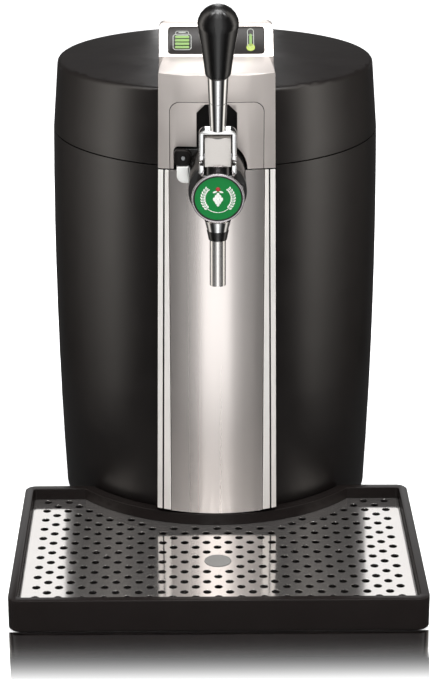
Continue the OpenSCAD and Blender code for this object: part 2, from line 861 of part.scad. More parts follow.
// The beer tube's run: level through the neck, round a quarter turn, down the spout
bend_r = 9;
module tube_run(r, extra) {
    rod_y(r, 0, neck_z, spout_y + bend_r, neck_end_y + 6 + extra);
    translate([0, spout_y + bend_r, neck_z - bend_r]) rotate([0, -90, 0]) rotate([0, 0, -90])
        rotate_extrude(angle = 90) translate([bend_r, 0]) circle(r);
    post(r, 0, spout_y, spout_tip_z + 6 - extra, neck_z - bend_r);
}

module beer_tube() {
    color("#d8dde0") difference() {
        tube_run(tube_r, 0);
        tube_run(tube_r - 1.4, over);
    }
}

plunger_z = neck_z + 4;
plunger_top_z = pivot_z - 12;
spring_top_z = block_top_z - 6.2;

module valve_plunger() {
    color("#e6e6e2") {
        post(valve_bore_r - run_gap, 0, spout_y, plunger_z + 2, plunger_top_z);
        translate([0, spout_y, plunger_z]) cylinder(r1 = 3.6, r2 = valve_bore_r - run_gap, h = 2);
    }
}

module valve_spring() {
    turns = 5;
    wire_r = 0.55;
    coil_r = 4.4;
    sides = 6;
    per_turn = 8;
    steps = turns * per_turn;
    foot = plunger_top_z + seat_gap;
    rise = (spring_top_z - seat_gap - foot - 2 * wire_r) / steps;
    ring = [for (i = [0:steps], j = [0:sides - 1]) let (a = 360 * i / per_turn, b = 360 * j / sides)
        [(coil_r + wire_r * cos(b)) * cos(a), spout_y + (coil_r + wire_r * cos(b)) * sin(a),
         foot + wire_r + rise * i + wire_r * sin(b)]];
    echo("spring: least gap between turns", rise * per_turn - 2 * wire_r);
    color("#b8bcc0") polyhedron(ring, concat(
        [for (i = [0:steps - 1], j = [0:sides - 1]) let (k = (j + 1) % sides)
            [i * sides + j, i * sides + k, (i + 1) * sides + k]],
        [for (i = [0:steps - 1], j = [0:sides - 1]) let (k = (j + 1) % sides)
            [i * sides + j, (i + 1) * sides + k, (i + 1) * sides + j]],
        [for (j = [1:sides - 2]) [0, j + 1, j]],
        [for (j = [1:sides - 2]) [steps * sides, steps * sides + j, steps * sides + j + 1]]));
}

// Side lock that holds the beer tube's clip
lock_t = 6;
lock_y = lug_front_y - 0.3 - lock_t;

module latch_pin() {
    color("#c4c4c4") rod_y(lock_pin_r, lock_x, lock_z, lock_y - 0.5, lug_back_y - 2.4);
}

module latch_arm() {
    color("#161616") difference() {
        upright(lock_y, lock_y + lock_t) {
            translate([lock_x, lock_z]) circle(6);
            translate([lock_x - 7, lock_z - 3]) square([7, 6]);
            translate([lock_x - 4, lock_z - 6]) square([4, 12]);
            for (s = [-1, 1]) translate([lock_x - 4, lock_z + s * 3]) circle(3);
        }
        rod_y(lock_pin_r + run_gap, lock_x, lock_z, lock_y - over, lock_y + lock_t + over);
    }
}

module tube_clip() {
    clip_top_z = lock_z - 6.8;
    color("#ededea") difference() {
        upright(band_y - 7, band_y - 0.5) {
            translate([-31, clip_top_z - 7]) square([17, 7]);
            translate([-25, clip_top_z - 13]) square([11, 13]);
            translate([-25, clip_top_z - 7]) circle(6);
        }
        rod_y(housing_r + 0.2, 0, tap_z, band_y - 30, band_y + over);
    }
}

// ---- Lever ----

pin_r = 2.5;
pin_in_x = 7;
arm_t = ear_t;
yoke_inner_h = 21;
yoke_top = yoke_inner_h + 3.3;
yoke_depth = 7;
yoke_eye_r = 5;
stem_foot_r = 5.9;
stem_top_r = 7.8;
stud_r = 4;
knob_foot = lever_len - knob_len;

module lever_frame() {
    translate([0, spout_y, pivot_z]) rotate([lever_lean, 0, 0]) children();
}

module lever_yoke() {
    r = 5;
    half = yoke_w / 2;
    color("#dddddd") lever_frame() difference() {
        union() {
            upright(-yoke_depth / 2, yoke_depth / 2) {
                translate([-half, 0]) square([yoke_w, yoke_top - r]);
                translate([-half + r, 0]) square([yoke_w - 2 * r, yoke_top]);
                for (s = [-1, 1]) translate([s * (half - r), yoke_top - r]) circle(r);
            }
            for (side = [0, 1]) mirror([side, 0, 0]) rod_x(yoke_eye_r, half - arm_t, half, 0, 0);
        }
        block([-(half - arm_t), -yoke_depth, -yoke_eye_r - over],
              [half - arm_t, yoke_depth, yoke_inner_h]);
        rod_x(pin_r, -half - over, half + over, 0, 0);
    }
}

module lever_stem() {
    groove_s = 47;
    color("#dddddd") lever_frame() difference() {
        union() {
            translate([0, 0, yoke_top]) cylinder(r1 = stem_foot_r, r2 = stem_top_r, h = knob_foot - yoke_top);
            translate([0, 0, knob_foot - 0.5]) cylinder(r = stud_r, h = 16);
        }
        translate([0, 0, groove_s]) difference() {
            cylinder(r = stem_top_r + 2, h = 0.7);
            translate([0, 0, -over]) cylinder(r = stem_foot_r + 0.3, h = 3);
        }
    }
}

module lever_knob() {
    r = knob_d / 2;
    foot_radius = 9.6;
    edge = 3;
    belly = lever_len - r;
    color("#121212") lever_frame() difference() {
        rotate_extrude() polygon(concat(
            [[0, knob_foot]],
            [for (a = [-90:30:0]) [foot_radius - edge + edge * cos(a), knob_foot + edge + edge * sin(a)]],
            [for (t = [0.25:0.25:0.75])
                [foot_radius + (r - foot_radius) * pow(t, 1.15), knob_foot + edge + (belly - knob_foot - edge) * t]],
            [for (a = [0:15:75]) [r * cos(a), belly + r * sin(a)]],
            [[0, lever_len]]));
        translate([0, 0, knob_foot - over]) cylinder(r = stud_r + run_gap, h = 17.5);
    }
}

module lever_pins() {
    color("#c4c4c4") lever_frame() for (side = [0, 1]) mirror([side, 0, 0])
        rod_x(pin_r, pin_in_x, yoke_w / 2, 0, 0);
}

// ---- Lid ----

// Front view of the opening that lets the lid pass the tap
notch_round_r = housing_r + 1.7;
module notch_outline(gap) {
    chamfer = 6.5;
    half = notch_half + gap;
    polygon([[-half, tap_z - 30], [half, tap_z - 30], [half, notch_top_z - chamfer],
             [half - chamfer, notch_top_z + gap], [-(half - chamfer), notch_top_z + gap],
             [-half, notch_top_z - chamfer]]);
    translate([0, tap_z]) circle(notch_round_r + gap);
    slot_left = lock_x - 7.4 - gap;
    slot_top = lock_z + 7 + gap;
    translate([slot_left, tap_z - 30]) square([-slot_left, slot_top - 4 - tap_z + 30]);
    translate([slot_left + 4, tap_z]) square([-slot_left - 4, slot_top - tap_z]);
    translate([slot_left + 4, slot_top - 4]) circle(4);
}

// The slot in the lid, and the moulded well that lines it
notch_gap = 0.5;
well_t = 2;
well_back_y = axis_y - body_r(seam_z) + shell_t + 6;
module lid_notch(gap, beyond = 0) {
    upright(band_y - 30, well_back_y + beyond) notch_outline(gap);
}

module lid_shell() {
    color("#211f1e") difference() {
        union() {
            difference() {
                lid_form(0, lid_z);
                lid_form(-shell_t, lid_z - over);
            }
            intersection() {
                lid_notch(notch_gap + well_t, well_t);
                lid_form(0, lid_z);
            }
        }
        lid_notch(notch_gap);
    }
}

// Room that the well takes out of what lies behind it
module well_room() {
    lid_notch(notch_gap + well_t + seat_gap, well_t + seat_gap);
}

// Side view of the fascia and console, and of the hollow inside
slope_foot = [axis_y - 103, brow_z + 7];
brow_back_y = slope_foot[0] - 2;
slope_run = (console_top_z - 1 - slope_foot[1]) / tan(display_tilt);
console_back_y = slope_foot[0] + slope_run + 47;
fascia_t = 7;
surround_t = 2;
cover_t = 2.5;

module console_side() {
    polygon([[band_y, lid_z], [band_y, brow_z - 4], [band_y + 1.2, brow_z - 1.4], [band_y + 4, brow_z],
             [brow_back_y, brow_z + 5.4], slope_foot,
             [slope_foot[0] + slope_run, console_top_z - 1],
             [slope_foot[0] + slope_run + 2.3, console_top_z],
             [slope_foot[0] + slope_run + 7, console_top_z],
             [console_back_y, crease_z + dome_h - 1], [console_back_y, lid_z]]);
}

module console_hollow() {
    polygon([[band_y + fascia_t, lid_z - over], [band_y + fascia_t, brow_z - 4],
             [brow_back_y, brow_z + 5.4 - cover_t], [slope_foot[0] + 1.3, slope_foot[1] - cover_t],
             [slope_foot[0] + slope_run + 2, console_top_z - cover_t - 1.4],
             [slope_foot[0] + slope_run + 6, console_top_z - cover_t - 0.4],
             [console_back_y - 5, crease_z + dome_h], [console_back_y - 5, lid_z - over]]);
}

// Front views of the brow and of the console behind it, with round upper corners
brow_r = 8;
brow_top_z = brow_z + 6;
module brow_outline() {
    half = band_half(brow_top_z - brow_r);
    band_outline(lid_z, brow_top_z - brow_r, 0);
    translate([-half + brow_r, brow_top_z - brow_r - over]) square([2 * (half - brow_r), brow_r + over]);
    for (s = [-1, 1]) translate([s * (half - brow_r), brow_top_z - brow_r]) circle(brow_r);
}

console_r = 5;
console_wall = 4;
module console_outline() {
    half = console_half;
    translate([-half, lid_z]) square([2 * half, console_top_z - console_r - lid_z]);
    translate([-half + console_r, lid_z]) square([2 * (half - console_r), console_top_z - lid_z]);
    for (s = [-1, 1]) translate([s * (half - console_r), console_top_z - console_r]) circle(console_r);
}

// Frame on the display's slope: X to the right, Y up the slope, Z out of it
module display_frame() {
    translate([0, slope_foot[0], slope_foot[1]]) rotate([display_tilt, 0, 0]) children();
}

window_t = 1.5;
window_r = 3;
board_depth = 7;
board_holes = [[-30, 5], [30, 5], [-30, 20], [30, 20]];

module lid_fascia() {
    color("#c8c5c2") difference() {
        union() {
            difference() {
                union() {
                    intersection() {
                        sideways(band_foot_half) console_side();
                        upright(band_y - over, brow_back_y + 1) brow_outline();
                        bowed(0, lid_z, brow_top_z + over);
                    }
                    intersection() {
                        sideways(console_half) console_side();
                        upright(brow_back_y, back_y) console_outline();
                    }
                }
                sideways(console_half - console_wall) console_hollow();
            }
            for (p = board_holes) display_frame()
                translate([p[0], p[1], -board_depth]) cylinder(r = 2, h = board_depth - window_t - 0.5);
        }
        lid_form(0.2, lid_z - over);
        difference() {
            upright(band_y - over, band_y + fascia_t) surround_outline(line_gap);
            bowed(surround_t + 0.2, lid_z - over, surround_top_z + 2 * over);
        }
        lid_notch(0.3);
        display_frame() translate([0, window_h / 2, -window_t]) linear_extrude(window_t + over)
            round_rect(window_w + 0.3, window_h + 0.3, window_r);
    }
}

module surround_outline(gap) {
    r = 8;
    half = surround_half + gap;
    top = surround_top_z + gap;
    translate([-half, lid_z - gap * 2]) square([2 * half, top - r - lid_z + gap * 2]);
    translate([-half + r, lid_z]) square([2 * (half - r), top - lid_z]);
    for (s = [-1, 1]) translate([s * (half - r), top - r]) circle(r);
}

module tap_surround() {
    color("#c8c5c2") difference() {
        intersection() {
            upright(band_y - over, band_y + 2 * fascia_t) difference() {
                surround_outline(0);
                notch_outline(0);
            }
            bowed(0, lid_z - 2 * over, surround_top_z + over);
        }
        bowed(surround_t, lid_z - 3 * over, surround_top_z + 2 * over);
    }
}

module display_window() {
    color("#34312e") display_frame() translate([0, window_h / 2, -window_t])
        linear_extrude(window_t - 0.1) round_rect(window_w, window_h, window_r);
}

// Icons stand 0.25 mm proud of the window
icon_h = 0.25;
keg_icon_x = -26.5;
thermo_x = 26.8;

module keg_icon() {
    w = 14.5;
    h = 18.5;
    color("#9ad431") display_frame() translate([keg_icon_x, window_h / 2, -0.1]) linear_extrude(icon_h) {
        difference() {
            round_rect(w, h, 3.5);
            round_rect(w - 1, h - 1, 3);
        }
        for (i = [0:3]) translate([0, -6.2 + i * 3.2]) square([11.5, 2.2], center = true);
        translate([0, 6.9]) square([6.5, 1.1], center = true);
    }
}

module thermometer_icon() {
    color("#b6e02a") display_frame() translate([thermo_x, window_h / 2, -0.1]) linear_extrude(icon_h) {
        difference() {
            union() {
                translate([0, 1.5]) round_rect(5.6, 18.5, 2.7);
                translate([0, -6.6]) circle(4.1);
            }
            union() {
                translate([0, 1.5]) round_rect(4.8, 17.7, 2.3);
                translate([0, -6.6]) circle(3.7);
            }
        }
        translate([0, -6.6]) circle(2.9);
        translate([-1.1, -6.6]) square([2.2, 13.4]);
    }
}

module display_board() {
    pcb_t = 1.6;
    color("#1f6b3a") display_frame() translate([-35, 1, -board_depth - pcb_t]) cube([70, 23, pcb_t]);
}

// Inner cup of the lid, over the keg's head
cup_r = 104;
cup_t = 2;
cup_top_z = crease_z - 11;
cup_flange_z = lid_z + 0.6;

module lid_liner() {
    color("#e4e4e2") difference() {
        translate([0, axis_y, 0]) union() {
            translate([0, 0, cup_flange_z]) cylinder(r = lid_r(cup_flange_z + cup_t) - shell_t - seat_gap, h = cup_t);
            translate([0, 0, cup_flange_z]) cylinder(r = cup_r + cup_t, h = cup_top_z + cup_t - cup_flange_z);
        }
        translate([0, axis_y, cup_flange_z - over]) cylinder(r = cup_r, h = cup_top_z - cup_flange_z + over);
        well_room();
    }
}

module lid_foam() {
    color("#e9e4d2") difference() {
        lid_form(-(shell_t + seat_gap), cup_flange_z + cup_t + seat_gap);
        translate([0, axis_y, 0]) cylinder(r = cup_r + cup_t + seat_gap, h = cup_top_z + cup_t + seat_gap);
        well_room();
    }
}

base_plate();
feet();
outer_shell();
rear_cover();
cover_screws();
fascia_carrier();
fascia_panel();
fascia_rails();
chamber_liner();
insulation_jacket();
chamber_collar();
lid_gasket();
cold_plate();
peltier_module();
heat_sink();
fan_frame();
fan_rotor();
fan_screws();
power_supply();
control_board();
temperature_sensor();
mains_inlet();
hinge_brackets();
hinge_pins();
tap_bracket();
tap_housing();
tap_barrel();
tap_boss_ring();
tap_cradle();
tap_screws();
badge_ring();
badge_disc();
spout_cone();
spout_seal_ring();
spout_tube();
beer_tube();
valve_plunger();
valve_spring();
latch_pin();
latch_arm();
tube_clip();
lever_yoke();
lever_stem();
lever_knob();
lever_pins();
lid_shell();
lid_fascia();
tap_surround();
display_window();
keg_icon();
thermometer_icon();
display_board();
lid_liner();
lid_foam();
lid_hinge_arms();
drip_tray();
drip_grate();
target_disc();
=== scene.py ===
import math

import bpy
from mathutils import Matrix, Vector


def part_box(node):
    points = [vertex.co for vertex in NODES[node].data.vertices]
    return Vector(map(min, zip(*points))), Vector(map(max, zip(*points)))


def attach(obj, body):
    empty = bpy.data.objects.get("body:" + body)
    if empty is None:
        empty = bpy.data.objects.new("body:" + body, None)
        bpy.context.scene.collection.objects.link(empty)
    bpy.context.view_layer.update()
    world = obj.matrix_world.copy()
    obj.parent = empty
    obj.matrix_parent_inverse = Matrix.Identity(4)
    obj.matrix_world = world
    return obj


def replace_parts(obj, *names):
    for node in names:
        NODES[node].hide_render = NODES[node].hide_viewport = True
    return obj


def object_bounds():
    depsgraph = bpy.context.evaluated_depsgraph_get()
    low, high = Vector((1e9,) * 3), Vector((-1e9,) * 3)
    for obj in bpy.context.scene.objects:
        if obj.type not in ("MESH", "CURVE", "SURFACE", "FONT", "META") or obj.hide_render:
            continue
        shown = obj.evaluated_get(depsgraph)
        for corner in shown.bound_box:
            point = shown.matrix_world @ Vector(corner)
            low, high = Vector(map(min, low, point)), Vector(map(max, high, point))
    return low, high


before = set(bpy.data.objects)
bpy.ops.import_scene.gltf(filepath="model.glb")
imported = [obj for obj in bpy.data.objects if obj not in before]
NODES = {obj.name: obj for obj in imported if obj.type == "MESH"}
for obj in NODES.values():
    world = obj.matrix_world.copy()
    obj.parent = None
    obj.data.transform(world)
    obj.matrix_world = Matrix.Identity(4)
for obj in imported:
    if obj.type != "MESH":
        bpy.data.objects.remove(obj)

cad_low, cad_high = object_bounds()

# ---- Camera ----
# A long lens in front of the machine, a little above it and nearly square on. Its place
# in metres and its angles were fitted to the tray's corners and the barrel's outline.
CAMERA_PLACE = (-0.0178, -1.7577, 0.8071)
CAMERA_PITCH = math.radians(20.404)
CAMERA_YAW = math.radians(0.674)
CAMERA_LENS = 120.1

lens = bpy.data.cameras.new("studio_camera")
lens.lens = CAMERA_LENS
camera = bpy.data.objects.new("studio_camera", lens)
bpy.context.scene.collection.objects.link(camera)
aim = Vector((math.sin(CAMERA_YAW) * math.cos(CAMERA_PITCH),
              math.cos(CAMERA_YAW) * math.cos(CAMERA_PITCH),
              -math.sin(CAMERA_PITCH)))
camera.location = CAMERA_PLACE
camera.rotation_mode = "QUATERNION"
camera.rotation_quaternion = aim.to_track_quat("-Z", "Y")
bpy.context.scene.camera = camera
bpy.context.scene.view_settings.view_transform = "Standard"


# ---- Studio ----
# A white sweep under soft overhead light. The world is white where the camera, a
# mirror or glass looks at the background, and gives an even plain light to the rest.
def linear(hex_colour):
    """Linear colour of an sRGB hex value."""
    parts = [int(hex_colour[i:i + 2], 16) / 255 for i in (1, 3, 5)]
    return [c / 12.92 if c <= 0.04045 else ((c + 0.055) / 1.055) ** 2.4 for c in parts] + [1]


def add_node(tree, kind, inputs=None, **settings):
    """Adds a node, gives it its settings, then fills its sockets with values or outputs."""
    node = tree.nodes.new(kind)
    for name, value in settings.items():
        setattr(node, name, value)
    for name, value in (inputs or {}).items():
        if isinstance(value, bpy.types.NodeSocket):
            tree.links.new(value, node.inputs[name])
        else:
            node.inputs[name].default_value = value
    return node


FILL_LEVEL = 0.42
world = bpy.data.worlds.new("studio_world")
world.use_nodes = True
world.node_tree.nodes.clear()
sky = world.node_tree
path = add_node(sky, "ShaderNodeLightPath")
mirrored = add_node(sky, "ShaderNodeMath", {0: path.outputs["Is Camera Ray"],
                                            1: path.outputs["Is Glossy Ray"]},
                    operation="MAXIMUM")
seen = add_node(sky, "ShaderNodeMath", {0: mirrored.outputs[0],
                                        1: path.outputs["Is Transmission Ray"]},
                operation="MAXIMUM")
level = add_node(sky, "ShaderNodeMapRange", {"Value": seen.outputs[0], "To Min": FILL_LEVEL,
                                             "To Max": 1.0})
glow = add_node(sky, "ShaderNodeBackground", {"Color": (1, 1, 1, 1),
                                              "Strength": level.outputs["Result"]})
add_node(sky, "ShaderNodeOutputWorld", {"Surface": glow.outputs[0]})
bpy.context.scene.world = world

# Four soft boxes: a strong one overhead, a weaker one behind and a faint one on each side.
SOFTBOXES = {
    # name: place, target, width, height, watts
    "overhead_softbox": ((0, -0.45, 1.9), (0, 0, 0.25), 1.5, 0.9, 42),
    "back_softbox": ((0, 1.2, 1.5), (0, 0, 0.25), 1.5, 0.9, 10),
    "left_softbox": ((-1.3, -0.9, 0.75), (0, 0.07, 0.2), 0.5, 1.6, 3),
    "right_softbox": ((1.3, -0.9, 0.75), (0, 0.07, 0.2), 0.5, 1.6, 3),
}
for name, (place, target, width, height, watts) in SOFTBOXES.items():
    lamp = bpy.data.lights.new(name, "AREA")
    lamp.shape = "RECTANGLE"
    lamp.size, lamp.size_y, lamp.energy = width, height, watts
    box = bpy.data.objects.new(name, lamp)
    box.location = place
    box.rotation_euler = (Vector(target) - Vector(place)).to_track_quat("-Z", "Y").to_euler()
    bpy.context.scene.collection.objects.link(box)

# The floor is a white laminate with a polished strip in front of the tray. The strip is as wide as
# the tray and narrows as the mirror image does. Near the tray it mirrors the tray's front. Further
# out its mirror turns black, which paints a dark reflection, and the strip fades to white over 92
# mm. Where other pieces mirror the floor it is a dim grey, so that black stays black.
FLOOR_HALF = 6.0
FLOOR_LIFT = 0.6
FLOOR_IN_MIRRORS = 0.06
STRIP_FROM_Y = cad_low[1] + 0.002
STRIP_TO_Y = STRIP_FROM_Y - 0.092
STRIP_HALF_WIDTH = cad_high[0]
STRIP_TAPER = 0.0094
STRIP_FADE = 3.35
STRIP_ROUGHNESS = 0.06
MIRROR_TO_PAINTED_DARK = (0.36, 0.5)
bpy.ops.object.select_all(action="DESELECT")
bpy.ops.mesh.primitive_plane_add(size=2 * FLOOR_HALF, location=(0, 0, 0))
floor = bpy.context.object
floor.name = "white_floor"
laminate = bpy.data.materials.new("white floor laminate")
laminate.use_nodes = True
tree = laminate.node_tree
tree.nodes.clear()
path = add_node(tree, "ShaderNodeLightPath")
spot = add_node(tree, "ShaderNodeTexCoord")
spot_axes = add_node(tree, "ShaderNodeSeparateXYZ", {"Vector": spot.outputs["Object"]})
away = add_node(tree, "ShaderNodeMapRange", {
    "Value": spot_axes.outputs["Y"], "From Min": STRIP_FROM_Y, "From Max": STRIP_TO_Y})
whiteness = add_node(tree, "ShaderNodeMath", {0: away.outputs["Result"], 1: STRIP_FADE},
                     operation="POWER")
before = add_node(tree, "ShaderNodeMath", {0: spot_axes.outputs["Y"], 1: STRIP_FROM_Y},
                  operation="LESS_THAN")
sideways = add_node(tree, "ShaderNodeMath", {0: spot_axes.outputs["X"]}, operation="ABSOLUTE")
tapered = add_node(tree, "ShaderNodeMath", {0: away.outputs["Result"], 1: STRIP_TAPER,
                                            2: sideways.outputs[0]}, operation="MULTIPLY_ADD")
within = add_node(tree, "ShaderNodeMath", {0: tapered.outputs[0], 1: STRIP_HALF_WIDTH},
                  operation="LESS_THAN")
in_place = add_node(tree, "ShaderNodeMath", {0: within.outputs[0], 1: before.outputs[0]},
                    operation="MULTIPLY")
darkness = add_node(tree, "ShaderNodeMath", {0: 1.0, 1: whiteness.outputs[0]},
                    operation="SUBTRACT")
gloss = add_node(tree, "ShaderNodeMath", {0: darkness.outputs[0], 1: in_place.outputs[0]},
                 operation="MULTIPLY")
matt = add_node(tree, "ShaderNodeBsdfDiffuse", {"Color": linear("#fbfbfb")})
lift = add_node(tree, "ShaderNodeEmission", {"Color": (1, 1, 1, 1), "Strength": FLOOR_LIFT})
# Painted dark reflection: the strip's mirror is white near the tray and turns black further out.
mirror_then_painted_dark = add_node(tree, "ShaderNodeMapRange", {
    "Value": away.outputs["Result"], "From Min": MIRROR_TO_PAINTED_DARK[0], "From Max": MIRROR_TO_PAINTED_DARK[1],
    "To Min": 1.0, "To Max": 0.0})
mirror = add_node(tree, "ShaderNodeBsdfAnisotropic", {"Color": mirror_then_painted_dark.outputs["Result"],
                                                      "Roughness": STRIP_ROUGHNESS})
dim = add_node(tree, "ShaderNodeEmission", {"Color": (1, 1, 1, 1), "Strength": FLOOR_IN_MIRRORS})
pale = add_node(tree, "ShaderNodeAddShader", {0: matt.outputs[0], 1: lift.outputs[0]})
mirror_and_painted_dark = add_node(tree, "ShaderNodeMixShader", {0: gloss.outputs[0], 1: pale.outputs[0],
                                               2: mirror.outputs[0]})
direct = add_node(tree, "ShaderNodeMixShader", {0: path.outputs["Is Camera Ray"],
                                                1: matt.outputs[0], 2: mirror_and_painted_dark.outputs[0]})
topped = add_node(tree, "ShaderNodeMixShader", {0: path.outputs["Is Glossy Ray"],
                                                1: direct.outputs[0], 2: dim.outputs[0]})
add_node(tree, "ShaderNodeOutputMaterial", {"Surface": topped.outputs[0]})
floor.data.materials.append(laminate)

# Studio cards stand round the machine. They show only in reflections, and give metal and
# gloss their soft bright and dark bands. Each has its brightness at steps along its width.
# The two at the sides are warm and grow brighter over the lowest third of their height.
WARM = (1, 0.95, 0.885)
WHITE = (1, 1, 1)
RISE_END = 0.3
RISE = (0.55, 1.6)
CENTRE_STEPS = ((0, 1.5), (1, 1.5))
FRONT_STEPS = ((0, 0.74), (0.046, 0.43), (0.106, 0.19), (0.148, 0.07), (0.25, 0.03), (1, 0.03))
FRONT_STEPS_MIRRORED = tuple((1 - step, bright) for step, bright in reversed(FRONT_STEPS))
RIGHT_STEPS = ((0, 0), (0.08, 0.35), (0.22, 1.6), (0.39, 0.5), (0.55, 0.12), (1, 0.01))
LEFT_STEPS = ((0, 0), (0.12, 0.35), (0.28, 1.45), (0.46, 0.5), (0.64, 0.12), (1, 0.01))
BACK_STEPS = ((0, 0.05), (1, 0.05))
CARDS = {
    # name: middle, width, height, turn in degrees, steps along the width, tint
    "card_centre": ((0, -0.262, 0.545), 0.064, 1.0, 0, CENTRE_STEPS, WHITE),
    "card_right": ((0.2395, -0.24, 0.545), 0.421, 1.0, 0, FRONT_STEPS, WHITE),
    "card_left": ((-0.2395, -0.24, 0.545), 0.421, 1.0, 0, FRONT_STEPS_MIRRORED, WHITE),
    "card_side_right": ((0.32, 0.03, 0.5), 0.54, 1.0, 90, RIGHT_STEPS, WARM),
    "card_side_left": ((-0.32, 0.03, 0.5), 0.54, 1.0, 90, LEFT_STEPS, WARM),
    "card_back_right": ((0.558, 0.36, 1.11), 1.0, 1.5, 0, BACK_STEPS, WHITE),
    "card_back_left": ((-0.558, 0.36, 1.11), 1.0, 1.5, 0, BACK_STEPS, WHITE),
}
for name, (middle, width, height, turn, steps, tint) in CARDS.items():
    bpy.ops.object.select_all(action="DESELECT")
    bpy.ops.mesh.primitive_plane_add(size=1, location=middle,
                                     rotation=(math.radians(90), 0, math.radians(turn)))
    card = bpy.context.object
    card.name = name
    card.scale = (width, height, 1)
    paper = bpy.data.materials.new("studio card, " + name)
    paper.use_nodes = True
    paper.node_tree.nodes.clear()
    across = add_node(paper.node_tree, "ShaderNodeTexCoord")
    edges = add_node(paper.node_tree, "ShaderNodeSeparateXYZ", {"Vector": across.outputs["UV"]})
    ramp = add_node(paper.node_tree, "ShaderNodeValToRGB", {"Fac": edges.outputs["X"]})
    while len(ramp.color_ramp.elements) < len(steps):
        ramp.color_ramp.elements.new(0.5)
    for element, (step, brightness) in zip(ramp.color_ramp.elements, steps):
        element.position = step
        element.color = [brightness * part for part in tint] + [1]
    low, high = RISE if tint == WARM else (1.0, 1.0)
    climb = add_node(paper.node_tree, "ShaderNodeMapRange", {
        "Value": edges.outputs["Y"], "From Max": RISE_END, "To Min": low, "To Max": high})
    shine = add_node(paper.node_tree, "ShaderNodeEmission", {"Color": ramp.outputs[0],
                                                             "Strength": climb.outputs["Result"]})
    add_node(paper.node_tree, "ShaderNodeOutputMaterial", {"Surface": shine.outputs[0]})
    card.data.materials.append(paper)
    for ray in ("camera", "diffuse", "shadow", "transmission", "volume_scatter"):
        setattr(card, "visible_" + ray, False)


# ---- Barrel and lid: satin black ABS ----
# The barrel, the cover behind it and the lid are injection-moulded ABS with a fine
# spark-eroded grain: near-black, half matt, with soft wide highlights.
CLOUD_RANGE = (0.3, 0.7)


def finish(name, colour, roughness, metallic=0.0, grain=0.6, depth=0.01, cloud=25.0,
           spread=0.06, rough_spread=0.05, edge=0.4, stretch=(1, 1, 1), **sockets):
    """Material with a fine grain, a cloudy tone and gloss, and softened edges.

    grain, depth, cloud and edge are sizes in mm. A real grain is finer than a pixel of the
    picture, so it is drawn as coarse as it has to be to show. spread and rough_spread say
    how much tone and gloss vary, and stretch draws the grain out along an axis.
    """
    material = bpy.data.materials.new(name)
    material.use_nodes = True
    tree = material.node_tree
    shader = tree.nodes["Principled BSDF"]
    place = add_node(tree, "ShaderNodeTexCoord")
    drawn = add_node(tree, "ShaderNodeMapping", {"Vector": place.outputs["Object"],
                                                 "Scale": stretch})
    grains = add_node(tree, "ShaderNodeTexNoise", {"Vector": drawn.outputs[0],
                                                   "Scale": 1000 / grain, "Detail": 2.0})
    clouds = add_node(tree, "ShaderNodeTexNoise", {"Vector": drawn.outputs[0],
                                                   "Scale": 1000 / cloud, "Detail": 3.0})
    base = linear(colour)
    tone = add_node(tree, "ShaderNodeMapRange", {
        "Value": clouds.outputs[0], "From Min": CLOUD_RANGE[0], "From Max": CLOUD_RANGE[1]})
    tint = add_node(tree, "ShaderNodeMix", {
        "Factor": tone.outputs[0],
        "A": [c * (1 - spread) for c in base[:3]] + [1],
        "B": [min(1, c * (1 + spread)) for c in base[:3]] + [1]}, data_type="RGBA")
    gloss = add_node(tree, "ShaderNodeMapRange", {
        "Value": clouds.outputs[0], "From Min": CLOUD_RANGE[0], "From Max": CLOUD_RANGE[1],
        "To Min": roughness - rough_spread / 2, "To Max": roughness + rough_spread / 2})
    soft = add_node(tree, "ShaderNodeBevel", {"Radius": edge / 1000}, samples=4)
    bump = add_node(tree, "ShaderNodeBump", {"Height": grains.outputs[0],
                                             "Distance": depth / 1000, "Strength": 1.0,
                                             "Normal": soft.outputs[0]})
    tree.links.new(tint.outputs["Result"], shader.inputs["Base Color"])
    tree.links.new(gloss.outputs[0], shader.inputs["Roughness"])
    tree.links.new(bump.outputs[0], shader.inputs["Normal"])
    shader.inputs["Metallic"].default_value = metallic
    for socket, value in sockets.items():
        shader.inputs[socket.replace("_", " ")].default_value = value
    return material


def dress(material, *names):
    """Gives CAD nodes that material."""
    for name in names:
        mesh = NODES[name].data
        for index in range(len(mesh.materials)):
            mesh.materials[index] = material
        if not mesh.materials:
            mesh.materials.append(material)


abs_satin = finish("satin black ABS, spark-eroded mould", "#14100f", 0.31, grain=0.7, depth=0.012,
                   IOR=1.53)
dress(abs_satin, "outer_shell", "rear_cover", "lid_hinge_arms", "hinge_brackets")

# Moulded and cast edges are never sharp, so visible ones get a small radius.
MERGE_WITHIN = 0.000005
SHARP_ANGLE = math.radians(28)
SMOOTH_ANGLE = math.radians(35)


def rounded(node, name, radius, material, steps=3, flat=0.4):
    """Copies a CAD node's mesh, merges it, and rounds its sharp edges by that radius in mm.

    Faces that meet at less than `flat` degrees become one first, so each edge is whole.
    """
    bpy.ops.object.select_all(action="DESELECT")
    piece = bpy.data.objects.new(name, NODES[node].data.copy())
    bpy.context.scene.collection.objects.link(piece)
    piece.select_set(True)
    bpy.context.view_layer.objects.active = piece
    bpy.ops.object.mode_set(mode="EDIT")
    bpy.ops.mesh.select_all(action="SELECT")
    bpy.ops.mesh.remove_doubles(threshold=MERGE_WITHIN)
    bpy.ops.mesh.dissolve_limited(angle_limit=math.radians(flat))
    bpy.ops.object.mode_set(mode="OBJECT")
    bevel = piece.modifiers.new("rounded_edges", "BEVEL")
    bevel.width = radius / 1000
    bevel.segments = steps
    bevel.limit_method = "ANGLE"
    bevel.angle_limit = SHARP_ANGLE
    bpy.ops.object.modifier_apply(modifier=bevel.name)
    bpy.ops.object.shade_smooth_by_angle(angle=SMOOTH_ANGLE)
    piece.data.materials.clear()
    piece.data.materials.append(material)
    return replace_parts(piece, node)


lid_moulding = rounded("lid_shell", "lid_moulding", 0.8, abs_satin, flat=0.01)
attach(lid_moulding, "lid")

